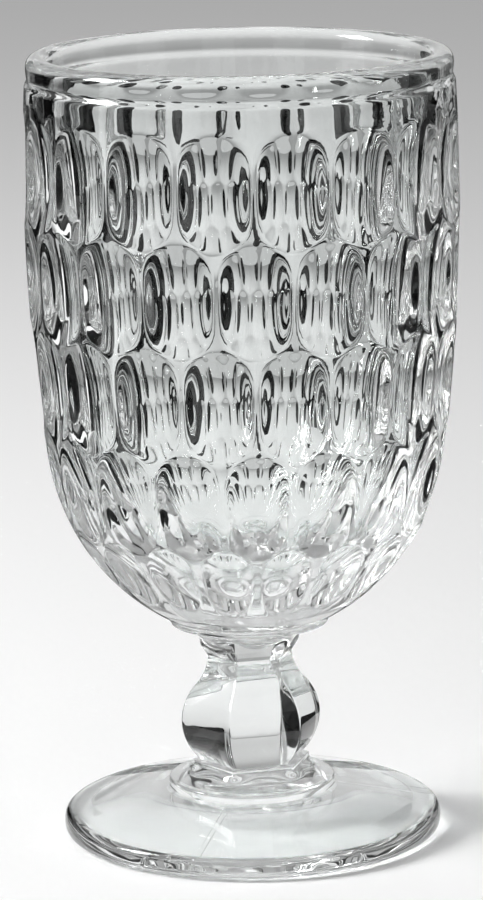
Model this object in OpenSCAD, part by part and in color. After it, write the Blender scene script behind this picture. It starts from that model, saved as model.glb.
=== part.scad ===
// Footed drinking glass in clear pressed glass: a deep bowl with rows of thumbprints,
// a six-sided knop between two round wafers, and a round foot.
// The axis of the glass is Z, and the foot rests on Z = 0.

/* [Bowl] */
// Height of the bowl, from the wafer under it to the top of the lip
bowl_height = 112; // [98:1:126]
// Diameter of the bowl where it is widest
bowl_diameter = 84.4; // [78:0.2:90]
// Distance from the top of the lip down to the widest place
bowl_widest_drop = 28; // [20:1:34]
// Radius of the slow outward curve of the upper wall, seen in section
wall_curve = 380; // [340:5:460]
// Radius of the round lower body, seen in section
body_curve = 43.5; // [42:0.5:47]
// Diameter of the flat end of the bowl, where it is joined to its wafer
bowl_end_diameter = 30; // [24:0.5:32]
// Thickness of glass in the middle of the bowl's floor
bowl_floor = 10; // [7:0.5:14]
// Thickness of the wall where the bowl is widest, before the thumbprints are pressed
wall_thickness = 6.7; // [5:0.1:8]

/* [Lip] */
// Outside diameter of the lip band
lip_diameter = 82.4; // [77:0.2:82.6]
// Thickness of the lip, which has a fully round top
lip_thickness = 4.3; // [3:0.1:5]
// Height of the plain band under the lip
lip_band = 4.6; // [4:0.1:8]
// Height of the small sloping step between the wall and that band
lip_step = 0.6; // [0.3:0.1:1]
// Lean of the inside wall, which lets the plunger out of the mould, in degrees
mould_draft = 3.2; // [1:0.1:4]

/* [Thumbprints] */
// Thumbprints in each row
print_count = 18; // [14:1:20]
// Height of a thumbprint in a full row
print_height = 21.8; // [18:0.2:25]
// Height of the round arch at each end of a thumbprint
print_arch = 5.6; // [4:0.1:7]
// Depth of a thumbprint in its middle
print_depth = 2; // [1.5:0.05:2.3]
// Width of the plain land between neighbours in a row
print_land = 1.4; // [0.9:0.1:2.2]
// How far each row reaches up between the prints of the row above
row_overlap = 1.5; // [0:0.1:2.5]
// Plain height between the top of the lip and the first row
first_row_drop = 10.8; // [8:0.2:16]
// Plain length of wall between the last row and the bowl's end
last_row_margin = 12; // [8:0.5:18]

/* [Bowl wafer] */
// Diameter of the thin disc under the bowl
bowl_wafer_diameter = 31.2; // [30.6:0.2:35]
// Thickness of the disc at its edge
bowl_wafer_edge = 0.9; // [0.6:0.1:1.6]
// Height of the wafer, from the neck to the bowl
bowl_wafer_height = 5.4; // [4.5:0.1:6.5]
// Radius of the cove under the disc
bowl_wafer_cove = 7; // [6.4:0.1:8]

/* [Knop] */
// Height of the knop and its neck
knop_height = 24.1; // [22.6:0.1:28]
// Width across the flats where the knop is fullest
knop_flats = 24.6; // [23:0.2:27]
// Height of the fullest place above the knop's lower end
knop_fullest = 9; // [8:0.1:10]
// Radius of the knop's belly, seen in section
knop_belly = 11.5; // [11:0.1:12]
// Width across the flats of the neck
neck_flats = 14.9; // [13.4:0.1:16]
// Radius of the hollow sweep from the neck into the knop
neck_sweep = 9; // [7:0.1:10]
// Height of each six-sided end plate
end_plate = 1; // [0.6:0.1:1.4]

/* [Foot wafer] */
// Diameter of the disc on the foot
foot_wafer_diameter = 32.9; // [31:0.1:36]
// Thickness of the disc at its edge
foot_wafer_edge = 1.6; // [1:0.1:2.4]
// Height of the wafer, from the foot to the knop
foot_wafer_height = 4.4; // [3.8:0.1:5.2]
// Radius of the cove that rises to the knop
foot_wafer_cove = 7.4; // [6.4:0.1:8.4]

/* [Foot] */
// Diameter of the foot
foot_diameter = 74.8; // [66:0.2:84]
// Thickness of the foot's round edge
foot_edge = 5; // [4:0.1:6]
// Height of the foot where its wafer is joined
foot_height = 9.1; // [7.5:0.1:11]
// Width of the flat ring that the foot rests on
foot_ring = 3.9; // [2:0.1:8]
// Depth of the hollow under the foot, inside that ring
foot_hollow_depth = 5; // [1:0.1:6]

/* [Hidden] */
$fn = 240;
hex_sides = 6;
hex_half_angle = 180 / hex_sides;
glass_colour = [0.86, 0.9, 0.92, 0.6];

// Heights of the joints above the table
foot_top = foot_height;
knop_bottom = foot_top + foot_wafer_height;
knop_top = knop_bottom + knop_height;
bowl_bottom = knop_top + bowl_wafer_height;
lip_top = bowl_bottom + bowl_height;

// Section of the bowl's outside: a slow arc for the wall, then a tangent arc for the body
wall_centre = [bowl_diameter / 2 - wall_curve, lip_top - bowl_widest_drop];
bowl_end = [bowl_end_diameter / 2, bowl_bottom];
centre_gap = norm(bowl_end - wall_centre);
wall_reach = wall_curve - body_curve;
along = (wall_reach ^ 2 - body_curve ^ 2 + centre_gap ^ 2) / (2 * centre_gap);
across = sqrt(wall_reach ^ 2 - along ^ 2);
gap_way = (bowl_end - wall_centre) / centre_gap;
body_centre = wall_centre + along * gap_way + across * [-gap_way.y, gap_way.x];
turn_angle = atan2(wall_centre.y - body_centre.y, body_centre.x - wall_centre.x);
turn_height = wall_centre.y - wall_curve * sin(turn_angle);
end_angle = atan2(body_centre.y - bowl_end.y, bowl_end.x - body_centre.x);

// Lengths along that section, measured down from the widest place
degrees_per_radian = 180 / PI;
turn_length = wall_curve * turn_angle / degrees_per_radian;
end_length = turn_length + body_curve * (end_angle - turn_angle) / degrees_per_radian;

// Lip, and the wall's outside and inside where the lip band starts
lip_round = lip_thickness / 2;
lip_inner = lip_diameter / 2 - lip_thickness;
lip_shoulder = lip_top - lip_round;
band_bottom = lip_top - lip_band;
wall_inner = bowl_diameter / 2 - wall_thickness;
band_inner = wall_inner + (band_bottom - wall_centre.y) * tan(mould_draft);
band_outer = wall_centre.x + sqrt(wall_curve ^ 2 - (band_bottom - wall_centre.y) ^ 2);

// Inside of the bowl: a leaning wall that runs into a round floor
floor_height = bowl_bottom + bowl_floor;
floor_lean = wall_inner + (floor_height - wall_centre.y) * tan(mould_draft);
floor_curve = floor_lean * cos(mould_draft) / (1 - sin(mould_draft));
floor_centre = floor_height + floor_curve;
floor_turn = [floor_curve * cos(mould_draft), floor_centre - floor_curve * sin(mould_draft)];

// Rows of thumbprints, with a shorter last row where one fits
row_pitch = print_height - row_overlap;
first_row_start = bowl_widest_drop - first_row_drop;
rows_length = end_length + first_row_start - last_row_margin;
full_rows = floor((rows_length - print_height) / row_pitch) + 1;
last_height = rows_length - full_rows * row_pitch;
shortest_print = 2.4 * print_arch;
row_count = full_rows + (last_height > shortest_print ? 1 : 0);
print_half_turn = 180 / print_count;

// Room that a cutting shape has beyond the glass it cuts
cut_room = 1;
side_room = 0.2;

// Seats of the knop's six-sided end plates, which match the ends of the two coves
bowl_cove_edge = bowl_wafer_diameter / 2 - bowl_wafer_edge / 2;
bowl_cove_rise = bowl_wafer_cove - bowl_wafer_height + bowl_wafer_edge;
bowl_cove_end = bowl_cove_edge - sqrt(bowl_wafer_cove ^ 2 - bowl_cove_rise ^ 2);
foot_cove_edge = foot_wafer_diameter / 2 - foot_wafer_edge / 4;
foot_cove_rise = foot_wafer_cove - foot_wafer_height + foot_wafer_edge;
foot_cove_end = foot_cove_edge - sqrt(foot_wafer_cove ^ 2 - foot_cove_rise ^ 2);

// Section of the knop: a belly arc that meets a hollow arc where both have one tangent
belly_centre = [knop_flats / 2 - knop_belly, knop_bottom + knop_fullest];
sweep_side = neck_flats / 2 + neck_sweep;
sweep_rise = sqrt((knop_belly + neck_sweep) ^ 2 - (sweep_side - belly_centre.x) ^ 2);
sweep_centre = [sweep_side, belly_centre.y + sweep_rise];
belly_share = knop_belly / (knop_belly + neck_sweep);
knop_turn = belly_centre + belly_share * (sweep_centre - belly_centre);

// Angle of the wall's outward normal below level, at a length along the section
function wall_angle(length) =
    length < turn_length
        ? length / wall_curve * degrees_per_radian
        : turn_angle + (length - turn_length) / body_curve * degrees_per_radian;

// Radius and height on the wall, at a length along the section
function wall_point(length) =
    let (angle = wall_angle(length), way = [cos(angle), -sin(angle)])
    length < turn_length ? wall_centre + wall_curve * way : body_centre + body_curve * way;

// Half of a thumbprint's width, at a length along the section
function print_half_width(length) =
    wall_point(length).x * sin(print_half_turn) - print_land / 2;

// Radius of the round cutter that presses a print of full depth and the given half width
function cutter_radius(length, half_width) =
    let (
        round_wall = wall_point(length).x / cos(wall_angle(length)),
        bulge = round_wall - sqrt(round_wall ^ 2 - half_width ^ 2),
        sink = print_depth - bulge
    )
    (sink ^ 2 + half_width ^ 2) / (2 * sink);

// Section of the solid bowl up to the round of the lip, with no hollow in it
module bowl_outside() {
    intersection() {
        translate(wall_centre)
            circle(r = wall_curve);
        translate([0, turn_height])
            square([bowl_diameter, band_bottom - turn_height]);
    }
    intersection() {
        translate(body_centre)
            circle(r = body_curve);
        translate([0, bowl_bottom])
            square([bowl_diameter, turn_height - bowl_bottom]);
    }
    polygon([
        [0, band_bottom],
        [band_outer, band_bottom],
        [lip_diameter / 2, band_bottom + lip_step],
        [lip_diameter / 2, lip_shoulder],
        [0, lip_shoulder]
    ]);
}

// Section of the bowl's inside
module bowl_inside() {
    polygon([
        [0, floor_turn.y],
        floor_turn,
        [band_inner, band_bottom],
        [lip_inner, lip_shoulder],
        [0, lip_shoulder]
    ]);
    intersection() {
        translate([0, floor_centre])
            circle(r = floor_curve);
        translate([0, bowl_bottom])
            square([bowl_diameter, floor_turn.y - bowl_bottom]);
    }
}

// The bowl before it is patterned
module bowl_blank() {
    rotate_extrude() {
        difference() {
            bowl_outside();
            bowl_inside();
        }
        translate([lip_inner + lip_round, lip_shoulder])
            circle(r = lip_round);
    }
}

// One cutter: a round bar with tapered ends, lying along the wall and trimmed to its own print
module print_cutter(middle, height) {
    half = height / 2;
    straight = half - print_arch;
    half_width = print_half_width(middle);
    upper = cutter_radius(middle, print_half_width(middle - straight));
    lower = cutter_radius(middle, print_half_width(middle + straight));
    lean = atan((upper - lower) / (2 * straight));
    wall_fall = half ^ 2 / (2 * (middle + half < turn_length ? wall_curve : body_curve));
    end_slope = (print_depth - wall_fall) / print_arch;
    reach = half + cut_room;
    end_drop = end_slope * (reach - straight);
    place = wall_point(middle);
    top_side = print_half_width(middle - half) + side_room;
    low_side = print_half_width(middle + half) + side_room;
    translate([place.x, 0, place.y])
        rotate([0, wall_angle(middle), 0])
            intersection() {
                translate([-print_depth, 0, 0])
                    rotate([0, lean, 0])
                        translate([(upper + lower) / 2, 0, 0])
                            rotate_extrude()
                                polygon([
                                    [0, -reach],
                                    [lower - end_drop, -reach],
                                    [lower, -straight],
                                    [upper, straight],
                                    [upper - end_drop, reach],
                                    [0, reach]
                                ]);
                translate([-print_depth - cut_room, 0, 0])
                    rotate([90, 0, 90])
                        linear_extrude(print_depth + 2 * cut_room)
                            polygon([
                                [-low_side, -reach],
                                [low_side, -reach],
                                [top_side, reach],
                                [-top_side, reach]
                            ]);
            }
}

// All the cutters of one row, each row turned half a print from the one above
module print_row(row) {
    height = row < full_rows ? print_height : last_height;
    middle = row * row_pitch - first_row_start + height / 2;
    stagger = (row % 2) * print_half_turn;
    for (place = [0 : print_count - 1])
        rotate([0, 0, -90 + stagger + place * 360 / print_count])
            print_cutter(middle, height);
}

// The blank with its first rows of prints pressed in
module pressed_bowl(rows) {
    if (rows == 0)
        bowl_blank();
    else
        difference() {
            pressed_bowl(rows - 1);
            print_row(rows - 1);
        }
}

module bowl() {
    color(glass_colour)
        pressed_bowl(row_count);
}

module bowl_wafer() {
    color(glass_colour)
        rotate_extrude()
            translate([0, knop_top])
                difference() {
                    square([bowl_wafer_diameter / 2, bowl_wafer_height]);
                    translate([bowl_cove_edge, -bowl_cove_rise])
                        circle(r = bowl_wafer_cove);
                    translate([bowl_cove_edge, -cut_room])
                        square([bowl_wafer_edge, bowl_wafer_height - bowl_wafer_edge + cut_room]);
                }
}

// One half of the knop's section, from its axis to a flat side
module knop_half_section() {
    intersection() {
        translate(belly_centre)
            circle(r = knop_belly);
        translate([0, knop_bottom])
            square([knop_flats, knop_turn.y - knop_bottom]);
    }
    difference() {
        translate([0, knop_turn.y])
            square([knop_turn.x, knop_top - knop_turn.y]);
        translate(sweep_centre)
            circle(r = neck_sweep);
        translate([neck_flats / 2, sweep_centre.y])
            square([knop_flats, knop_top]);
    }
}

// The space between two opposite flat sides of the knop
module knop_slab() {
    rotate([90, 0, 0])
        linear_extrude(2 * knop_flats, center = true) {
            knop_half_section();
            mirror([1, 0])
                knop_half_section();
        }
}

// A six-sided plate as wide across its flats as the round end that it meets
module end_plate_at(height, half_flats) {
    translate([0, 0, height])
        rotate([0, 0, hex_half_angle])
            cylinder(r = half_flats / cos(hex_half_angle), h = end_plate, $fn = hex_sides);
}

module knop_stem() {
    color(glass_colour)
        rotate([0, 0, hex_half_angle]) {
            intersection() {
                knop_slab();
                rotate([0, 0, 2 * hex_half_angle])
                    knop_slab();
                rotate([0, 0, 4 * hex_half_angle])
                    knop_slab();
            }
            end_plate_at(knop_bottom, foot_cove_end);
            end_plate_at(knop_top - end_plate, bowl_cove_end);
        }
}

module foot_wafer() {
    color(glass_colour)
        rotate_extrude()
            translate([0, foot_top])
                difference() {
                    square([foot_wafer_diameter / 2, foot_wafer_height]);
                    translate([foot_cove_edge, foot_wafer_edge + foot_wafer_cove])
                        circle(r = foot_wafer_cove);
                    translate([foot_cove_edge, foot_wafer_edge])
                        square([foot_wafer_edge, foot_wafer_height]);
                }
}

module foot() {
    edge_round = foot_edge / 2;
    edge_middle = foot_diameter / 2 - edge_round;
    hollow_radius = edge_middle - foot_ring;
    hollow_curve = (hollow_radius ^ 2 + foot_hollow_depth ^ 2) / (2 * foot_hollow_depth);
    color(glass_colour)
        rotate_extrude() {
            difference() {
                polygon([
                    [0, 0],
                    [edge_middle, 0],
                    [edge_middle, foot_edge],
                    [foot_wafer_diameter / 2, foot_top],
                    [0, foot_top]
                ]);
                translate([0, foot_hollow_depth - hollow_curve])
                    circle(r = hollow_curve);
            }
            translate([edge_middle, edge_round])
                circle(r = edge_round);
        }
}

bowl();
bowl_wafer();
knop_stem();
foot_wafer();
foot();
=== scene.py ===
import math

import bpy
import numpy as np
from mathutils import Matrix, Vector


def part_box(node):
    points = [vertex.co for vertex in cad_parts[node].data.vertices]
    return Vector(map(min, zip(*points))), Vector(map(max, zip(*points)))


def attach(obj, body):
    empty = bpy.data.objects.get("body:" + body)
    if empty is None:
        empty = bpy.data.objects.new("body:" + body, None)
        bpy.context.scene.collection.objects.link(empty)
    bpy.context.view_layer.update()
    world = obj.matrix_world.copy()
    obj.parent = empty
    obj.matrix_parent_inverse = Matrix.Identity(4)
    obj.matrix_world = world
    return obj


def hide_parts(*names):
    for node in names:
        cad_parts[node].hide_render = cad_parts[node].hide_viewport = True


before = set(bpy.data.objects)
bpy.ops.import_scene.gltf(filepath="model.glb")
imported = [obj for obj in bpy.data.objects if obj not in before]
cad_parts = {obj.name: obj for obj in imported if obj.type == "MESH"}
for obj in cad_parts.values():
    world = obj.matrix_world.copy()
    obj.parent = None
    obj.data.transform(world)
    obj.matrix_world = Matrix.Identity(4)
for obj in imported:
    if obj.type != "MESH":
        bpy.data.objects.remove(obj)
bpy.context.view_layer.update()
mm = 0.001


def hexToLinear(text):  # "#rrggbb" in sRGB to linear red, green, blue, alpha
    steps = [int(text[i:i + 2], 16) / 255 for i in (1, 3, 5)]
    return [s / 12.92 if s <= 0.04045 else ((s + 0.055) / 1.055) ** 2.4 for s in steps] + [1.0]


def addNode(tree, kind, inputs=None, **settings):  # one node, its settings, then values or links
    node = tree.nodes.new(kind)
    for name, value in settings.items():
        setattr(node, name, value)
    for name, value in (inputs or {}).items():
        if isinstance(value, bpy.types.NodeSocket):
            tree.links.new(value, node.inputs[name])
        else:
            node.inputs[name].default_value = value
    return node


def newMaterial(name):
    material = bpy.data.materials.new(name)
    material.use_nodes = True
    material.node_tree.nodes.clear()
    return material, material.node_tree


def finishMaterial(tree, shader):
    addNode(tree, "ShaderNodeOutputMaterial", {"Surface": shader})


# Heights where the pieces are joined, in mm, from the solids in the frame
def nodeHeights(node):
    low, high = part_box(node)
    return round(low.z / mm, 1), round(high.z / mm, 1)


def nodeRadius(node):
    low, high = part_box(node)
    return round((high.x - low.x) / mm, 1) / 2


bowlBottom, lipTop = nodeHeights("bowl")
knopBottom, knopTop = nodeHeights("knop_stem")
footTop = nodeHeights("foot")[1]
print("frame read: lip at", lipTop, "mm, bowl from", bowlBottom, "mm, foot up to", footTop, "mm")


# Mesh of stacked rings: each ring is an (n, 3) array in mm, one point for a pole
def stitchRings(startA, countA, startB, countB):
    faces = []
    if countA == 1:  # out from a pole
        for b in range(countB):
            faces.append((startA, startB + (b + 1) % countB, startB + b))
    elif countB == 1:  # in to a pole
        for a in range(countA):
            faces.append((startA + a, startA + (a + 1) % countA, startB))
    elif countA == countB:
        for a in range(countA):
            b = (a + 1) % countA
            faces.append((startA + a, startA + b, startB + b, startB + a))
    elif countA == 2 * countB:  # the next ring has half as many points
        for b in range(countB):
            a, nextB = 2 * b, (b + 1) % countB
            nextA = (a + 2) % countA
            faces.append((startA + a, startA + a + 1, startB + b))
            faces.append((startA + a + 1, startA + nextA, startB + nextB, startB + b))
    else:  # the next ring has twice as many points
        for a in range(countA):
            b, nextA = 2 * a, (a + 1) % countA
            nextB = (b + 2) % countB
            faces.append((startA + a, startB + b + 1, startB + b))
            faces.append((startA + a, startA + nextA, startB + nextB, startB + b + 1))
    return faces


creaseAngle = 52.0  # degrees: edges that turn by more stay crisp


def makePiece(name, rings, weldSpans, glass, weld, nodeName):  # weldSpans: fused gaps between rings
    starts = np.cumsum([0] + [len(ring) for ring in rings]).tolist()
    faces, kinds = [], []
    for i in range(len(rings) - 1):
        span = stitchRings(starts[i], len(rings[i]), starts[i + 1], len(rings[i + 1]))
        faces += span
        kinds += [1 if i in weldSpans else 0] * len(span)
    mesh = bpy.data.meshes.new(name)
    mesh.from_pydata((np.concatenate(rings) * mm).tolist(), [], faces)
    mesh.materials.append(glass)
    mesh.materials.append(weld)
    mesh.polygons.foreach_set("material_index", kinds)
    mesh.polygons.foreach_set("use_smooth", [True] * len(faces))
    mesh.update()
    mesh.set_sharp_from_angle(angle=math.radians(creaseAngle))
    piece = bpy.data.objects.new(name, mesh)
    bpy.context.scene.collection.objects.link(piece)
    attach(piece, "root")
    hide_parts(nodeName)
    print("piece", name, "has", len(faces), "faces")


def roundRing(radius, height, angles):
    return np.stack([radius * np.cos(angles), radius * np.sin(angles),
                     np.broadcast_to(height, angles.shape)], axis=1)


def pole(height):
    return np.array([[0.0, 0.0, height]])


def arcPoints(centre, radius, fromDegrees, toDegrees, steps):  # (radius, height) pairs, both ends in
    turn = np.radians(np.linspace(fromDegrees, toDegrees, steps))
    return [(centre[0] + radius * math.cos(t), centre[1] + radius * math.sin(t)) for t in turn]


def unit(a, b):  # direction from a to b
    step = np.subtract(b, a)
    return step / np.hypot(*step)


def bend(before, corner, after, size, steps=4):  # a soft corner, size mm along each side of it
    corner = np.array(corner, float)
    sides = [np.array(p, float) - corner for p in (before, after)]
    first, last = [corner + size * s / np.linalg.norm(s) for s in sides]
    share = np.linspace(0, 1, steps)
    return [tuple((1 - t) ** 2 * first + 2 * t * (1 - t) * corner + t * t * last) for t in share]


def bunch(count, period, tightness):  # count places along period, bunched towards its two ends
    s = np.arange(count) / count
    return (s - tightness * np.sin(2 * np.pi * s) / (2 * np.pi)) * period


# Clear soda-lime glass, pressed in an iron mould and fire-polished: the flame leaves it bright and
# colourless, with a slow waviness from the chilled mould that makes what is seen through it tremble.
glassLooks = {
    "tint": "#fdfefe",
    "cord": "#f6f9f8",  # faint streaks of a slightly denser melt
    "ior": 1.52,
    "waveSize": 9.0,  # mm between the swells that the chilled mould leaves
    "waveHeight": 0.04,  # mm
    "grainSize": 3.0,  # mm, the fine orange-peel of the iron; drawn coarser than real so that it shows
    "grainHeight": 0.005,  # mm
    "chillSize": 1.4,  # mm between the small ripples of a chill mark
    "chillHeight": 0.03,  # mm
    "chillPatch": 16.0,  # mm across a patch of them
    "chillLow": 0.46,  # level of the patches' noise where the ripples begin
    "chillHigh": 0.62,  # and where they are at their full height
    "chillSide": (0.98, -0.19, 0.0),  # towards the side of the mould that ran coldest
    "chillFrom": 16.0,  # mm from the axis on that side, where the ripples begin
    "chillTo": 36.0,
    "polish": 0.0,  # roughness where the flame reached
    "handled": 0.008,  # roughness where hands and cloths have dulled it
    "handledPatch": 22.0,  # mm across a dulled patch
    "handledLow": 0.55,  # level of the patches' noise where the dulling begins
    "handledHigh": 0.8,
}


def pressedGlass(name, looks, seams=None):
    material, tree = newMaterial(name)
    place = addNode(tree, "ShaderNodeTexCoord").outputs["Object"]
    swell = addNode(tree, "ShaderNodeTexNoise",
                    {"Vector": place, "Scale": 1 / (looks["waveSize"] * mm), "Detail": 1.0})
    grain = addNode(tree, "ShaderNodeTexNoise",
                    {"Vector": place, "Scale": 1 / (looks["grainSize"] * mm), "Detail": 2.0})
    waved = addNode(tree, "ShaderNodeBump", {"Height": swell.outputs["Fac"], "Strength": 1.0,
                                             "Distance": looks["waveHeight"] * mm})
    grained = addNode(tree, "ShaderNodeBump", {"Height": grain.outputs["Fac"], "Strength": 1.0,
                                               "Distance": looks["grainHeight"] * mm,
                                               "Normal": waved.outputs["Normal"]})
    ripple = addNode(tree, "ShaderNodeTexNoise",
                     {"Vector": place, "Scale": 1 / (looks["chillSize"] * mm), "Detail": 1.0})
    spots = addNode(tree, "ShaderNodeTexNoise",
                    {"Vector": place, "Scale": 1 / (looks["chillPatch"] * mm), "Detail": 1.0})
    coldSide = addNode(tree, "ShaderNodeVectorMath", {0: place, 1: looks["chillSide"]},
                       operation="DOT_PRODUCT")
    cold = addNode(tree, "ShaderNodeMapRange",
                   {"Value": coldSide.outputs["Value"], "From Min": looks["chillFrom"] * mm,
                    "From Max": looks["chillTo"] * mm, "To Min": 0.0, "To Max": 1.0})
    chilled = addNode(tree, "ShaderNodeMapRange",
                      {"Value": spots.outputs["Fac"], "From Min": looks["chillLow"],
                       "From Max": looks["chillHigh"], "To Min": 0.0, "To Max": cold.outputs["Result"]})
    skin = addNode(tree, "ShaderNodeBump", {"Height": ripple.outputs["Fac"],
                                            "Strength": chilled.outputs["Result"],
                                            "Distance": looks["chillHeight"] * mm,
                                            "Normal": grained.outputs["Normal"]})
    if seams:  # fine ridges where the parts of the mould met
        along = addNode(tree, "ShaderNodeSeparateXYZ", {0: place})
        turn = addNode(tree, "ShaderNodeMath", {0: along.outputs["Y"], 1: along.outputs["X"]},
                       operation="ARCTAN2")
        phase = addNode(tree, "ShaderNodeMath",
                        {0: turn.outputs["Value"], 1: float(seams["count"]),
                         2: -seams["count"] * math.radians(seams["first"])}, operation="MULTIPLY_ADD")
        near = addNode(tree, "ShaderNodeMath", {0: phase.outputs["Value"]}, operation="COSINE")
        side = math.cos(seams["count"] * math.radians(seams["halfWidth"]))
        ridge = addNode(tree, "ShaderNodeMapRange",
                        {"Value": near.outputs["Value"], "From Min": side, "From Max": 1.0,
                         "To Min": 0.0, "To Max": 1.0}, interpolation_type="SMOOTHSTEP")
        skin = addNode(tree, "ShaderNodeBump", {"Height": ridge.outputs["Result"], "Strength": 1.0,
                                                "Distance": seams["height"] * mm,
                                                "Normal": skin.outputs["Normal"]})
    patch = addNode(tree, "ShaderNodeTexNoise",
                    {"Vector": place, "Scale": 1 / (looks["handledPatch"] * mm), "Detail": 3.0})
    dull = addNode(tree, "ShaderNodeMapRange",
                   {"Value": patch.outputs["Fac"], "From Min": looks["handledLow"],
                    "From Max": looks["handledHigh"], "To Min": looks["polish"],
                    "To Max": looks["handled"]})
    melt = addNode(tree, "ShaderNodeMix", {"Factor": swell.outputs["Fac"],
                                           "A": hexToLinear(looks["tint"]),
                                           "B": hexToLinear(looks["cord"])}, data_type="RGBA")
    shader = addNode(tree, "ShaderNodeBsdfPrincipled",
                     {"Base Color": melt.outputs["Result"], "Roughness": dull.outputs["Result"],
                      "IOR": looks["ior"], "Transmission Weight": 1.0,
                      "Normal": skin.outputs["Normal"]})
    finishMaterial(tree, shader.outputs["BSDF"])
    return material


# Fused joint: hot glass joined to hot glass leaves no surface between, so the joint is clear
def fusedJoint(name):
    material, tree = newMaterial(name)
    shader = addNode(tree, "ShaderNodeBsdfPrincipled",
                     {"Base Color": hexToLinear("#ffffff"), "Alpha": 0.0})
    finishMaterial(tree, shader.outputs["BSDF"])
    return material


clearGlass = pressedGlass("clear_glass_pressed_and_fire_polished", glassLooks)
clearJoint = fusedJoint("clear_glass_fused_joint")
print("glass mixed")

# Bowl, in mm and degrees, then how finely it is drawn
bowl = {
    "widestDrop": 28.0,  # top of the lip down to the widest place
    "wallCurve": 380.0,  # radius of the slow curve of the wall
    "bodyCurve": 43.5,  # radius of the round body
    "endDiameter": 30.0,  # where it is fused to the upper wafer
    "floor": 10.0,  # glass under the drink
    "wall": 6.7,
    "draft": 3.2,  # lean of the inside wall, which lets the plunger out
    "lipDiameter": 82.4,
    "beadCurve": 12.0,  # how roundly the lip's bead swells outside
    "beadUnder": 9.0,  # degrees that the bead turns in below its fullest place
    "beadOver": 1.0,  # and above it, where the top begins
    "beadTop": 2.2,  # radius of the rounded top
    "beadWaist": 2.0,  # height of the soft waist under the bead
    "waistReach": 0.45,  # share of that height over which each end of the waist runs on straight
    "plainStop": 0.25,  # the plain zone's last line aims this far below the waist
    "printCount": 18,
    "printHeight": 21.8,
    "printArch": 6.8,  # how far the round ends of a print curve in
    "printDepth": 2.15,
    "printFlatness": 2.4,  # 2 is an even curve across a print, more is flatter in its middle
    "printLand": 1.4,  # glass left between neighbours
    "rowOverlap": 1.5,
    "firstRowDrop": 10.8,  # top of the lip down to the first row
    "lastRowMargin": 12.0,  # plain wall between the last row and the joint
    "borderInset": 1.5,  # from the outer end of the first or last row to the line that bounds it
    "borderSwing": 2.2,  # how far that line waves
    "polishRound": 0.09,  # how far the flame softened the edges of the prints
    "depthSpread": 0.09,  # share by which the prints' depths differ
    "leanSpread": 0.1,  # share by which a print is deeper on one side
    "spreadSeed": 5,
    "columnsPerHalfPrint": 14,
    "columnBunch": 0.55,  # how far columns crowd to the middles and edges of the prints
    "linesPerRow": 28,
    "lineBunch": 0.35,
    "jointShares": (0.35, 0.7),  # rings across the joint, as shares of its radius
    "baseLines": 9,
    "fineBaseLines": 3,  # the upper ones of those, with every column
    "plainLines": 9,
    "waistLines": 10,
    "beadLines": 16,
    "topLines": 19,
    "innerLines": 12,
    "floorLines": 30,
    "floorStop": -88.0,  # degrees, just short of the single point in the middle
    "coarserWithin": 14.0,  # from the axis, where half of the columns end
}


class BowlSection:  # the outside of the bowl in section: a slow arc, then a tangent round body
    def __init__(self, values):
        self.widest = nodeRadius("bowl")
        self.wallCurve, self.bodyCurve = values["wallCurve"], values["bodyCurve"]
        self.wallCentre = np.array([self.widest - self.wallCurve, lipTop - values["widestDrop"]])
        end = np.array([values["endDiameter"] / 2, bowlBottom])
        gap = np.linalg.norm(end - self.wallCentre)
        reach = self.wallCurve - self.bodyCurve
        along = (reach ** 2 - self.bodyCurve ** 2 + gap ** 2) / (2 * gap)
        way = (end - self.wallCentre) / gap
        across = math.sqrt(reach ** 2 - along ** 2)
        self.bodyCentre = self.wallCentre + along * way + across * np.array([-way[1], way[0]])
        turn = self.bodyCentre - self.wallCentre
        self.turnAngle = math.atan2(-turn[1], turn[0])
        self.endAngle = math.atan2(self.bodyCentre[1] - end[1], end[0] - self.bodyCentre[0])
        self.turnLength = self.wallCurve * self.turnAngle
        self.endLength = self.turnLength + self.bodyCurve * (self.endAngle - self.turnAngle)

    def angle(self, length):  # how far the outward normal points below level
        return np.where(length < self.turnLength, length / self.wallCurve,
                        self.turnAngle + (length - self.turnLength) / self.bodyCurve)

    def point(self, length, sink):  # radius and height at a length down from the widest place
        angle = self.angle(length)
        upper = length < self.turnLength
        curve = np.where(upper, self.wallCurve, self.bodyCurve) - sink
        radius = np.where(upper, self.wallCentre[0], self.bodyCentre[0]) + curve * np.cos(angle)
        height = np.where(upper, self.wallCentre[1], self.bodyCentre[1]) - curve * np.sin(angle)
        return radius, height

    def lengthAt(self, height):  # on the upper wall
        return self.wallCurve * math.asin((self.wallCentre[1] - height) / self.wallCurve)


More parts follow.
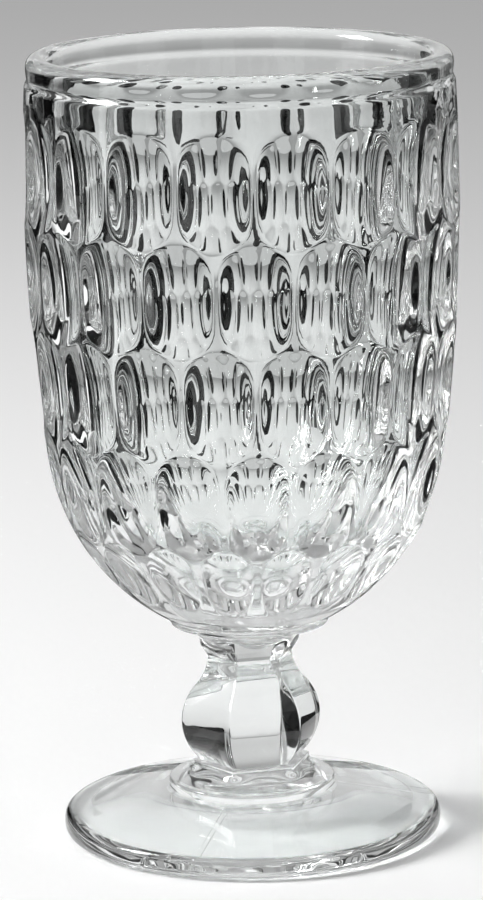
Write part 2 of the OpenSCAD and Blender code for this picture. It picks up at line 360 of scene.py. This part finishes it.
class PrintRows:  # the thumbprints: where the rows are, and how deep the glass is pressed at a place
    def __init__(self, values, section):
        self.values, self.section = values, section
        self.halfTurn = math.pi / values["printCount"]
        pitch = values["printHeight"] - values["rowOverlap"]
        start = values["widestDrop"] - values["firstRowDrop"]
        room = section.endLength + start - values["lastRowMargin"]
        fullRows = int((room - values["printHeight"]) // pitch) + 1
        heights = [values["printHeight"]] * fullRows + [room - fullRows * pitch]
        self.tops = [row * pitch - start for row in range(len(heights))]
        self.heights = heights
        self.ends = [top + height for top, height in zip(self.tops, heights)]
        chance = np.random.default_rng(values["spreadSeed"])
        shape = (len(heights), values["printCount"])
        self.depths = 1 + values["depthSpread"] * chance.uniform(-1, 1, shape)
        self.leans = values["leanSpread"] * chance.uniform(-1, 1, shape)

    def centre(self, row):  # angle of a print's middle in a row; each row is turned half a print
        return -math.pi / 2 + (row % 2) * self.halfTurn

    def depth(self, angles, lengths):
        values = self.values
        radius = self.section.point(lengths, 0)[0]
        halfWidth = radius * math.sin(self.halfTurn) - values["printLand"] / 2
        total = np.zeros_like(lengths)
        for row, (top, height) in enumerate(zip(self.tops, self.heights)):
            turns = (angles - self.centre(row)) / (2 * self.halfTurn)
            cell = np.round(turns)
            offset = (turns - cell) * 2 * self.halfTurn
            number = cell.astype(int) % values["printCount"]
            u = radius * np.sin(offset) / halfWidth
            across = 1 - np.abs(u) ** values["printFlatness"]
            reach = height / 2 - values["printArch"] * (1 - np.sqrt(np.maximum(across, 0)))
            along = 1 - ((lengths - top - height / 2) / reach) ** 2
            deepest = values["printDepth"] * self.depths[row][number] * (1 + self.leans[row][number] * u)
            inside = np.maximum(across, 0) * np.maximum(along, 0)
            pressed = deepest * (inside + np.minimum(across, 0) + np.minimum(along, 0))
            total += np.logaddexp(0, pressed / values["polishRound"]) * values["polishRound"]
        return total

    def border(self, row, angles):  # the wavy line of lands above a row, or below the last one
        values = self.values
        swing = values["borderSwing"]
        if row == 0:
            middle = self.tops[0] + values["borderInset"]
        elif row == len(self.tops):
            middle = self.ends[-1] - values["borderInset"]
        else:
            middle = (self.tops[row] + self.ends[row - 1]) / 2
            swing = (self.ends[row - 1] - self.tops[row] + values["printLand"]) / 2
        return middle - swing * np.cos(values["printCount"] * (angles - self.centre(row)))


def lipOutline(values, section):  # the waist and the bead in section, up and over to the inside
    outer, curve, topRound = values["lipDiameter"] / 2, values["beadCurve"], values["beadTop"]
    over = math.radians(values["beadOver"])
    topCentre = (outer - curve + (curve - topRound) * math.cos(over), lipTop - topRound)
    beadCentre = (outer - curve, topCentre[1] - (curve - topRound) * math.sin(over))
    bead = arcPoints(beadCentre, curve, -values["beadUnder"], values["beadOver"], values["beadLines"])
    top = arcPoints(topCentre, topRound, values["beadOver"], 180, values["topLines"])
    waistBottom = bead[0][1] - values["beadWaist"]
    waistLength = section.lengthAt(waistBottom)
    wallTop = np.array(section.point(waistLength, 0))
    wallUnder = np.array(section.point(waistLength + 1, 0))
    reach = values["beadWaist"] * values["waistReach"]
    handles = [wallTop, wallTop + unit(wallUnder, wallTop) * reach,
               np.array(bead[0]) - unit(bead[0], bead[1]) * reach, np.array(bead[0])]
    outline = []
    for s in np.linspace(0, 1, values["waistLines"]):
        spread = ((1 - s) ** 3, 3 * s * (1 - s) ** 2, 3 * s * s * (1 - s), s ** 3)
        outline.append(tuple(sum(k * p for k, p in zip(spread, handles))))
    return outline + bead[1:] + top[1:], waistBottom, waistLength


def insideOutline(values, section, top):  # down the leaning inside wall and along the round floor
    lean = math.radians(values["draft"])
    inner = section.widest - values["wall"]
    floorHeight = bowlBottom + values["floor"]
    floorLean = inner + (floorHeight - section.wallCentre[1]) * math.tan(lean)
    floorCurve = floorLean * math.cos(lean) / (1 - math.sin(lean))
    floorCentre = floorHeight + floorCurve
    floorTurn = (floorCurve * math.cos(lean), floorCentre - floorCurve * math.sin(lean))
    topInner = inner + (top - section.wallCentre[1]) * math.tan(lean)
    outline = []
    for share in np.linspace(0, 1, values["innerLines"])[:-1]:
        outline.append((topInner + (floorTurn[0] - topInner) * share, top + (floorTurn[1] - top) * share))
    outline += arcPoints((0, floorCentre), floorCurve, -values["draft"], values["floorStop"],
                         values["floorLines"])
    return outline, floorHeight


def bowlRings(values):
    section = BowlSection(values)
    prints = PrintRows(values, section)
    step = bunch(values["columnsPerHalfPrint"], prints.halfTurn, values["columnBunch"])
    halves = np.arange(2 * values["printCount"])
    angles = -math.pi / 2 + (halves[:, None] * prints.halfTurn + step[None, :]).ravel()
    coarse, coarser = angles[::2], angles[::4]

    def wallRing(lengths, around):
        radius, height = section.point(lengths, prints.depth(around, lengths))
        return roundRing(radius, height, around)

    endRadius = values["endDiameter"] / 2
    rings = [pole(bowlBottom)]
    rings += [roundRing(endRadius * share, bowlBottom, coarser) for share in values["jointShares"]]
    rings.append(roundRing(endRadius, bowlBottom, coarse))
    weldSpans = set(range(len(rings) - 1))
    lowest, baseLines = len(prints.tops), values["baseLines"]
    for i in range(1, baseLines):  # plain base, from the joint up to the last row
        around = coarse if i < baseLines - values["fineBaseLines"] else angles
        line = section.endLength + (prints.border(lowest, around) - section.endLength) * i / baseLines
        rings.append(wallRing(line, around))
    for row in reversed(range(lowest)):  # the rows, each between its two wavy borders
        under, over = prints.border(row + 1, angles), prints.border(row, angles)
        for share in bunch(values["linesPerRow"], 1.0, values["lineBunch"]):
            rings.append(wallRing(under + (over - under) * share, angles))
    lip, waistBottom, waistLength = lipOutline(values, section)
    firstLine, plainEnd = prints.border(0, angles), waistLength + values["plainStop"]
    for share in np.linspace(0, 1, values["plainLines"])[:-1]:  # plain zone under the lip
        rings.append(wallRing(firstLine + (plainEnd - firstLine) * share, angles))
    rings += [roundRing(r, z, angles) for r, z in lip]
    inside, floorHeight = insideOutline(values, section, waistBottom)
    rings += [roundRing(r, z, coarse if r > values["coarserWithin"] else coarser) for r, z in inside]
    rings.append(pole(floorHeight))
    return rings, weldSpans


makePiece("pressed_bowl", *bowlRings(bowl), clearGlass, clearJoint, "bowl")

# Six-sided stem with its knop, in mm, then how finely the six-sided pieces are drawn
knop = {
    "flats": 24.6,  # across the flats where it is fullest
    "fullest": 9.0,  # height of that place
    "belly": 11.5,  # radius of the swelling
    "neckFlats": 14.9,
    "sweep": 9.0,  # radius of the hollow curve from the swelling to the neck
    "plate": 0.75,  # height of the upright plate under the knop
    "upperPlateFlats": 17.224,  # across the flats where the upper wafer's cove ends
    "lowerPlateFlats": 20.506,  # and where the lower one's ends
    "plateEdge": 0.18,  # how softly its corners turn
    "cornerSharpness": 70,
    "coveSharpness": 4,  # where the wafers turn round, the six corners fade
    "upperSlope": 2.0,  # the neck spreads to the upper wafer over this height
    "sides": 6,
    "columnsPerSide": 24,
    "cornerBunch": 0.8,  # how far columns crowd to the corners
    "bellyLines": 30,
    "sweepLines": 14,
}
sideTurn = 2 * math.pi / knop["sides"]
hexStep = bunch(knop["columnsPerSide"], sideTurn, knop["cornerBunch"])
hexAngles = (np.arange(knop["sides"])[:, None] * sideTurn + hexStep[None, :]).ravel()


def hexReach(angles, sharpness):  # distance to a six-sided outline with flats 1 from its middle
    total = np.zeros_like(angles)
    for side in range(knop["sides"]):
        facing = np.maximum(np.cos(angles - (side + 0.5) * sideTurn), 0)
        total += facing ** sharpness
    return total ** (-1 / sharpness)


def hexRing(halfFlats, height, roundness=0.0):  # roundness 1 is a circle of the same half width
    softer = roundness ** 0.5
    reach = hexReach(hexAngles, knop["cornerSharpness"] * (1 - softer) + knop["coveSharpness"] * softer)
    return roundRing(halfFlats * (reach * (1 - roundness) + roundness), height, hexAngles)

def endSpans(rings):  # the two gaps at either end of a piece, where it is fused to its neighbours
    last = len(rings) - 2
    return {0, 1, last - 1, last}


def ease(share):  # from 0 to 1 with soft ends, and 1 beyond
    share = min(share, 1)
    return share * share * (3 - 2 * share)


def knopRings(values):
    half, neck = values["flats"] / 2, values["neckFlats"] / 2
    lower, upper = values["lowerPlateFlats"] / 2, values["upperPlateFlats"] / 2
    bellyCentre = (half - values["belly"], knopBottom + values["fullest"])
    sweepSide = neck + values["sweep"]
    both = values["belly"] + values["sweep"]
    sweepCentre = (sweepSide, bellyCentre[1] + math.sqrt(both ** 2 - (sweepSide - bellyCentre[0]) ** 2))
    lean = math.degrees(math.atan2(sweepCentre[1] - bellyCentre[1], sweepCentre[0] - bellyCentre[0]))
    plateTop = knopBottom + values["plate"]
    bellyStart = math.degrees(math.asin((plateTop - bellyCentre[1]) / values["belly"]))
    belly = arcPoints(bellyCentre, values["belly"], bellyStart, lean, values["bellyLines"])
    sweep = arcPoints(sweepCentre, values["sweep"], 180 + lean, 180, values["sweepLines"])
    edge = values["plateEdge"]
    outline = [(lower, knopBottom)]
    outline += bend((lower, knopBottom), (lower, plateTop), belly[0], edge)
    outline += bend((lower, plateTop), belly[0], belly[2], edge)
    outline += belly[1:] + sweep[1:]
    outline += bend(sweep[-1], (neck, knopTop - values["upperSlope"]), (upper, knopTop), edge)
    outline.append((upper, knopTop))
    rings = [pole(knopBottom), hexRing(lower / 2, knopBottom)]
    rings += [hexRing(a, z) for a, z in outline]
    rings += [hexRing(upper / 2, knopTop), pole(knopTop)]
    return rings, endSpans(rings)


makePiece("hex_knop_stem", *knopRings(knop), clearGlass, clearJoint, "knop_stem")

# Upper wafer, in mm: a thin disc whose cove draws in to the six-sided neck
upperWafer = {
    "diameter": 31.2,
    "edge": 0.9,  # thickness of its rounded edge
    "cove": 7.0,  # radius of the cove
    "roundBy": 0.75,  # share of the cove's height over which six sides turn round
    "coveLines": 20,
    "edgeLines": 9,
}


def upperWaferRings(values):
    radius, edge = values["diameter"] / 2, values["edge"]
    height = bowlBottom - knopTop
    coveEdge = radius - edge / 2
    rise = values["cove"] - height + edge
    start = 180 - math.degrees(math.asin(rise / values["cove"]))
    cove = arcPoints((coveEdge, knopTop - rise), values["cove"], start, 90, values["coveLines"])
    rim = arcPoints((coveEdge, bowlBottom - edge / 2), edge / 2, -90, 90, values["edgeLines"])
    joint = bowl["endDiameter"] / 2
    rings = [pole(knopTop), hexRing(cove[0][0] / 2, knopTop)]
    for r, z in cove[:-1] + rim:
        rings.append(hexRing(r, z, ease((z - knopTop) / ((height - edge) * values["roundBy"]))))
    rings += [hexRing(joint, bowlBottom, 1.0), hexRing(joint / 2, bowlBottom, 1.0), pole(bowlBottom)]
    return rings, endSpans(rings)


makePiece("upper_wafer", *upperWaferRings(upperWafer), clearGlass, clearJoint, "bowl_wafer")

# Lower wafer, in mm: the disc between knop and foot
lowerWafer = {
    "diameter": 32.9,
    "edge": 1.6,  # height of its upright edge
    "edgeRound": 0.5,
    "cove": 7.4,  # radius of the cove
    "coveInset": 0.4,  # from the edge in to where the cove ends
    "roundBy": 0.8,  # share of the cove's height over which six sides turn round
    "coveLines": 22,
}


def lowerWaferRings(values):
    radius, edge = values["diameter"] / 2, values["edge"]
    centre = (radius - values["coveInset"], footTop + edge + values["cove"])
    height = knopBottom - footTop
    end = 180 + math.degrees(math.asin((centre[1] - knopBottom) / values["cove"]))
    cove = arcPoints(centre, values["cove"], 270, end, values["coveLines"])
    outline = [(radius, footTop)]
    outline += bend((radius, footTop), (radius, footTop + edge), cove[2], values["edgeRound"])
    outline += cove[3:]  # the soft corner stands for the cove's first points
    rings = [pole(footTop), hexRing(radius / 2, footTop, 1.0)]
    for r, z in outline:
        rings.append(hexRing(r, z, ease((knopBottom - z) / ((height - edge) * values["roundBy"]))))
    rings += [hexRing(outline[-1][0] / 2, knopBottom), pole(knopBottom)]
    return rings, endSpans(rings)


makePiece("lower_wafer", *lowerWaferRings(lowerWafer), clearGlass, clearJoint, "foot_wafer")

# Foot, in mm, then how finely it is drawn
foot = {
    "edge": 4.6,  # height of its upright edge
    "edgeFullness": 0.72,  # 1 is a half circle, less is more upright
    "ring": 2.2,  # width of the flat ring that it rests on
    "ringSoft": 1.8,  # how far the corner between ring and hollow is softened
    "hollowDepth": 5.0,
    "columns": 288,
    "hollowLines": 16,
    "edgeLines": 25,
    "topLines": 14,
    "coarseWithin": 10.0,  # from the axis, where half of the columns end
}
# The same glass from the foot's part of the mould, pressed flat and so calmer: fine seams catch the light
mouldSeams = {
    "count": 3,  # parts of the mould
    "first": 239.0,  # degrees
    "halfWidth": 0.35,  # degrees
    "height": 0.03,  # mm
}
footLooks = dict(glassLooks, waveHeight=0.012, grainHeight=0.0015, chillHeight=0.0)  # mm
seamedGlass = pressedGlass("clear_glass_pressed_with_mould_seams", footLooks, mouldSeams)


def footRings(values):
    radius, edgeRound = nodeRadius("foot"), values["edge"] / 2
    edgeMiddle = radius - edgeRound
    hollow = edgeMiddle - values["ring"]
    hollowCurve = (hollow ** 2 + values["hollowDepth"] ** 2) / (2 * values["hollowDepth"])
    hollowCentre = (0, values["hollowDepth"] - hollowCurve)
    hollowEnd = math.degrees(math.asin((hollowCurve - values["hollowDepth"]) / hollowCurve))
    underside = arcPoints(hollowCentre, hollowCurve, 90, hollowEnd, values["hollowLines"])
    joint = lowerWafer["diameter"] / 2
    slope = math.degrees(math.atan2(footTop - values["edge"], edgeMiddle - joint))
    outline = underside[1:-1]
    outline += bend(underside[-2], underside[-1], (edgeMiddle, 0), values["ringSoft"])
    for turn in np.radians(np.linspace(-90, 90 - slope, values["edgeLines"])):
        across, up = math.cos(turn), math.sin(turn)
        across = math.copysign(abs(across) ** values["edgeFullness"], across)
        up = math.copysign(abs(up) ** values["edgeFullness"], up)
        outline.append((edgeMiddle + edgeRound * across, edgeRound + edgeRound * up))
    start = outline[-1]
    for share in np.linspace(0, 1, values["topLines"])[1:]:  # the gently sloping top
        outline.append((start[0] + (joint - start[0]) * share, start[1] + (footTop - start[1]) * share))
    angles = np.arange(values["columns"]) * 2 * math.pi / values["columns"]
    coarse = angles[::2]
    rings = [pole(values["hollowDepth"])]
    rings += [roundRing(r, z, angles if r > values["coarseWithin"] else coarse) for r, z in outline]
    jointSpan = len(rings) - 1
    rings += [roundRing(joint / 2, footTop, coarse), pole(footTop)]
    return rings, {jointSpan, jointSpan + 1}


makePiece("round_foot", *footRings(foot), seamedGlass, clearJoint, "foot")

# Studio: pale floor with a painted pool of light, grey room, one soft light from the left, and dark cards
# around the glass
view = {
    "azimuth": -13.0,  # degrees from straight ahead, about the axis of the glass
    "distance": 842.7,  # mm, level
    "height": 256.93,  # mm above the floor
    "lookHeight": 78.0,  # mm, on the axis
    "asideRight": -0.93,  # mm from the look point to the middle of the picture
    "asideUp": -1.51,
    "roll": -1.04,  # degrees
    "lens": 175.97,  # mm
    "sensor": 36.0,
}
studio = {  # in m, where nothing else is said
    # painted light: the floor's colour is paler near the glass and greyer far off, a painted pool of light
    "floorInPaintedPool": "#f8f8f8",
    "floorFar": "#e2e2e2",
    "paintedPoolReach": 0.7,  # how far the pool of light painted into the floor's colour reaches
    "floorSize": 12.0,
    "floorDrop": 0.0003,  # below the foot, so that they share no face
    "mattRough": 0.9,
    "roomLevel": 0.35,
    "leftLevel": 0.62,
    "leftFull": -0.8,  # how far to the right a direction points where the left level is full
    "leftFaded": -0.5,  # and where it has faded
    "backLevel": 0.62,  # behind the glass, where the paper would sweep up
    "backFaded": 0.85,  # how far to the back a direction points
    "backFull": 0.97,
    "overheadLevel": 0.45,
    "overheadFaded": 0.5,  # how far up a direction points
    "overheadFull": 0.8,
    "keyAside": -0.94,  # to the right of the view
    "keyAhead": -0.08,
    "keyHeight": 0.7,
    "keyAim": 0.06,  # height on the glass that the light points at
    "keyWide": 0.34,
    "keyTall": 0.5,
    "keyPower": 13.0,  # W
    "clothColour": "#080808",
    "clothPatch": 4.0,  # mm, where the pile lies another way
    "clothShade": 0.98,  # and how dark it is there
    "clothLift": 0.0002,  # above the floor
    "clothTo": 5.5,  # from the axis to the far ends of the dark cloths
    "glossLift": 0.00021,  # the same for the cloth that only the gloss sees, just above the others
    "glossFrom": 0.09,  # from the axis to its near edge
    "glossStep": 15,  # degrees between the points of its round outline
    # pale lane behind the glass: the way ahead of the axis, then from the lane's middle to its edge
    "leftOfLane": [(0.0, 0.065), (0.05, 0.065), (0.3, 0.105), (0.75, 0.2), (1.5, 0.42), (5.4, 1.7)],
    "rightOfLane": [(0.2, 0.08), (0.3, 0.09), (0.75, 0.17), (1.5, 0.33), (5.4, 1.2)],
    "laneFlags": 17,  # degrees to either side of straight behind where the standing cards begin
    "darkSectors": [  # degrees from straight behind to the right, the near edge, the card's height
        (0, 27, 0.22, 1.05), (37, 50, 0.22, 1.05), (50, 70, 0.08, 1.05), (86, 112, 0.08, 0.33),
        (132, 157, 0.08, 0.6), (177, 202, 0.08, 0.33), (222, 248, 0.08, 0.33), (266, 297, 0.08, 0.5),
        (307, 360, 0.08, 0.5),
    ],
    "cardsAway": 1.6,
    "cardPoints": 8,  # along a curved card
}


def viewAxes():
    azimuth = math.radians(view["azimuth"])
    ahead = Vector((-math.sin(azimuth), math.cos(azimuth), 0))
    right = Vector((math.cos(azimuth), math.sin(azimuth), 0))
    return ahead, right


def makeCamera():
    ahead, right = viewAxes()
    place = -ahead * view["distance"] * mm + Vector((0, 0, view["height"] * mm))
    target = Vector((0, 0, view["lookHeight"] * mm))
    up = right.cross((target - place).normalized())
    target += right * view["asideRight"] * mm + up * view["asideUp"] * mm
    forward = (target - place).normalized()
    side = forward.cross(Vector((0, 0, 1))).normalized()
    up = side.cross(forward)
    turn = Matrix((side, up, -forward)).transposed() @ Matrix.Rotation(math.radians(view["roll"]), 3, "Z")
    data = bpy.data.cameras.new("photo_camera")
    data.sensor_width = view["sensor"]
    data.lens = view["lens"]
    camera = bpy.data.objects.new("photo_camera", data)
    camera.matrix_world = Matrix.Translation(place) @ turn.to_4x4()
    bpy.context.scene.collection.objects.link(camera)
    bpy.context.scene.camera = camera


# Black cotton velvet: its deep pile swallows light, so in the glass it is a soft dark shape
def velvetCloth(name):
    material, tree = newMaterial(name)
    place = addNode(tree, "ShaderNodeTexCoord").outputs["Object"]
    pile = addNode(tree, "ShaderNodeTexNoise",
                   {"Vector": place, "Scale": 1 / (studio["clothPatch"] * mm), "Detail": 4.0})
    upright = hexToLinear(studio["clothColour"])
    lying = [c * studio["clothShade"] for c in upright[:3]] + [1.0]
    tone = addNode(tree, "ShaderNodeMix", {"Factor": pile.outputs["Fac"], "A": upright, "B": lying},
                   data_type="RGBA")
    shader = addNode(tree, "ShaderNodeBsdfPrincipled",
                     {"Base Color": tone.outputs["Result"], "Roughness": studio["mattRough"],
                      "Specular IOR Level": 0.0})
    finishMaterial(tree, shader.outputs["BSDF"])
    return material


# Matt paper with a pool of light painted into its colour: no gloss, painted pale around the glass and
# greyer far off
def paperWithPaintedPool(name):
    material, tree = newMaterial(name)
    place = addNode(tree, "ShaderNodeTexCoord").outputs["Object"]
    away = addNode(tree, "ShaderNodeVectorMath", {0: place}, operation="LENGTH")
    ratio = addNode(tree, "ShaderNodeMath", {0: away.outputs["Value"], 1: studio["paintedPoolReach"]},
                    operation="DIVIDE")
    square = addNode(tree, "ShaderNodeMath", {0: ratio.outputs[0], 1: 2.0}, operation="POWER")
    more = addNode(tree, "ShaderNodeMath", {0: square.outputs[0], 1: 1.0}, operation="ADD")
    share = addNode(tree, "ShaderNodeMath", {0: 1.0, 1: more.outputs[0]}, operation="DIVIDE")
    # painted light: towards the glass the colour turns from the far grey to the paler near colour, a pool
    # of light painted into the paper
    tone = addNode(tree, "ShaderNodeMix",
                   {"Factor": share.outputs[0], "A": hexToLinear(studio["floorFar"]),
                    "B": hexToLinear(studio["floorInPaintedPool"])}, data_type="RGBA")
    shader = addNode(tree, "ShaderNodeBsdfPrincipled",
                     {"Base Color": tone.outputs["Result"], "Roughness": studio["mattRough"],
                      "Specular IOR Level": 0.0})
    finishMaterial(tree, shader.outputs["BSDF"])
    return material


def makeWorld(ahead, right):
    world = bpy.data.worlds.new("studio_room")
    world.use_nodes = True
    tree = world.node_tree
    tree.nodes.clear()
    way = addNode(tree, "ShaderNodeTexCoord").outputs["Generated"]
    height = addNode(tree, "ShaderNodeSeparateXYZ", {0: way}).outputs["Z"]
    aside = addNode(tree, "ShaderNodeVectorMath", {0: way, 1: right}, operation="DOT_PRODUCT")
    left = addNode(tree, "ShaderNodeMapRange",
                   {"Value": aside.outputs["Value"], "From Min": studio["leftFull"],
                    "From Max": studio["leftFaded"], "To Min": studio["leftLevel"],
                    "To Max": studio["roomLevel"]}, interpolation_type="SMOOTHSTEP")
    behind = addNode(tree, "ShaderNodeVectorMath", {0: way, 1: ahead}, operation="DOT_PRODUCT")
    sweep = addNode(tree, "ShaderNodeMapRange",
                    {"Value": behind.outputs["Value"], "From Min": studio["backFaded"],
                     "From Max": studio["backFull"], "To Min": left.outputs["Result"],
                     "To Max": studio["backLevel"]}, interpolation_type="SMOOTHSTEP")
    over = addNode(tree, "ShaderNodeMapRange",
                   {"Value": height, "From Min": studio["overheadFaded"],
                    "From Max": studio["overheadFull"], "To Min": 0.0, "To Max": 1.0},
                   interpolation_type="SMOOTHSTEP")
    level = addNode(tree, "ShaderNodeMix", {"Factor": over.outputs["Result"], "A": sweep.outputs["Result"],
                                            "B": studio["overheadLevel"]}, data_type="FLOAT")
    room = addNode(tree, "ShaderNodeBackground", {"Color": hexToLinear("#ffffff"),
                                                  "Strength": level.outputs["Result"]})
    plain = addNode(tree, "ShaderNodeBackground", {"Color": hexToLinear(studio["floorFar"]),
                                                   "Strength": 1.0})
    path = addNode(tree, "ShaderNodeLightPath")
    both = addNode(tree, "ShaderNodeMixShader", {0: path.outputs["Is Camera Ray"],
                                                 1: room.outputs["Background"],
                                                 2: plain.outputs["Background"]})
    addNode(tree, "ShaderNodeOutputWorld", {"Surface": both.outputs["Shader"]})
    bpy.context.scene.world = world


def stageMesh(name, points, faces, material):
    mesh = bpy.data.meshes.new(name)
    mesh.from_pydata([tuple(point) for point in points], [], faces)
    mesh.materials.append(material)
    prop = bpy.data.objects.new(name, mesh)
    bpy.context.scene.collection.objects.link(prop)
    return prop


def flatSheet(name, outline, height, material):  # outline at ground level, laid at a height
    points = [Vector(point) + Vector((0, 0, height)) for point in outline]
    return stageMesh(name, points, [tuple(range(len(points)))], material)


def standingCard(name, low, tall, material):  # a curved card along the points of low
    count = len(low)
    high = [point + Vector((0, 0, tall)) for point in low]
    faces = [(i, i + 1, count + i + 1, count + i) for i in range(count - 1)]
    return stageMesh(name, low + high, faces, material)


def makeDarkCards(ahead, right, ground):  # between the pale lanes: they draw the edges in clear glass
    velvet = velvetCloth("black_velvet")
    far, away = studio["clothTo"], studio["cardsAway"]

    def spot(degrees, distance):
        turn = math.radians(degrees)
        return (ahead * math.cos(turn) + right * math.sin(turn)) * distance

    leftEdge = [-right * half + ahead * d for d, half in studio["leftOfLane"]]
    rightEdge = [right * half + ahead * d for d, half in studio["rightOfLane"]]
    cards = []
    for number, (first, last, near, tall) in enumerate(studio["darkSectors"]):
        turns = np.linspace(first, last, studio["cardPoints"])
        if first == 0:  # right of the lane behind the glass
            outline = rightEdge + [spot(last, far), spot(last, near)]
            first = studio["laneFlags"]
        elif last == 360:  # left of it
            outline = [spot(first, near), spot(first, far)] + leftEdge[::-1]
            last -= studio["laneFlags"]
        else:
            outline = [spot(t, far) for t in turns] + [spot(t, near) for t in turns[::-1]]
        cards.append(flatSheet("dark_cloth_%d" % number, outline, ground + studio["clothLift"], velvet))
        low = [spot(t, away) for t in np.linspace(first, last, studio["cardPoints"])]
        cards.append(standingCard("dark_card_%d" % number, low, tall, velvet))
    fullTurn = range(0, 361, studio["glossStep"])
    ring = [spot(t, far) for t in fullTurn] + [spot(t, studio["glossFrom"]) for t in reversed(fullTurn)]
    shade = flatSheet("dark_cloth_for_gloss", ring, ground + studio["glossLift"], velvet)
    shade.visible_transmission = False  # keeps the floor's gleam off the glass
    cards.append(shade)
    for card in cards:  # seen in the glass alone
        card.visible_camera = False
        card.visible_diffuse = False
        card.visible_shadow = False


def makeStudio():
    ahead, right = viewAxes()
    half, ground = studio["floorSize"] / 2, -studio["floorDrop"]
    corners = [(-half, -half, 0), (half, -half, 0), (half, half, 0), (-half, half, 0)]
    flatSheet("pale_floor", corners, ground, paperWithPaintedPool("matt_paper_with_painted_light_pool"))
    makeDarkCards(ahead, right, ground)
    makeWorld(ahead, right)
    data = bpy.data.lights.new("softbox", "AREA")
    data.shape = "RECTANGLE"
    data.size, data.size_y = studio["keyWide"], studio["keyTall"]
    data.energy = studio["keyPower"]
    lamp = bpy.data.objects.new("softbox", data)
    place = right * studio["keyAside"] + ahead * studio["keyAhead"] + Vector((0, 0, studio["keyHeight"]))
    lamp.location = place
    aim = Vector((0, 0, studio["keyAim"]))
    lamp.rotation_euler = (aim - place).to_track_quat("-Z", "Y").to_euler()
    bpy.context.scene.collection.objects.link(lamp)


makeCamera()
makeStudio()
scene = bpy.context.scene
scene.view_settings.view_transform = "Standard"
scene.cycles.sample_clamp_indirect = 40.0  # tames stray bright specks
scene.cycles.blur_glossy = 0.0  # keeps the light that the glass throws on the floor
scene.cycles.max_bounces = 32  # enough to pass through every wall of the glass
scene.cycles.transmission_bounces = 28
scene.cycles.glossy_bounces = 12
scene.cycles.transparent_max_bounces = 32
print("studio lit")
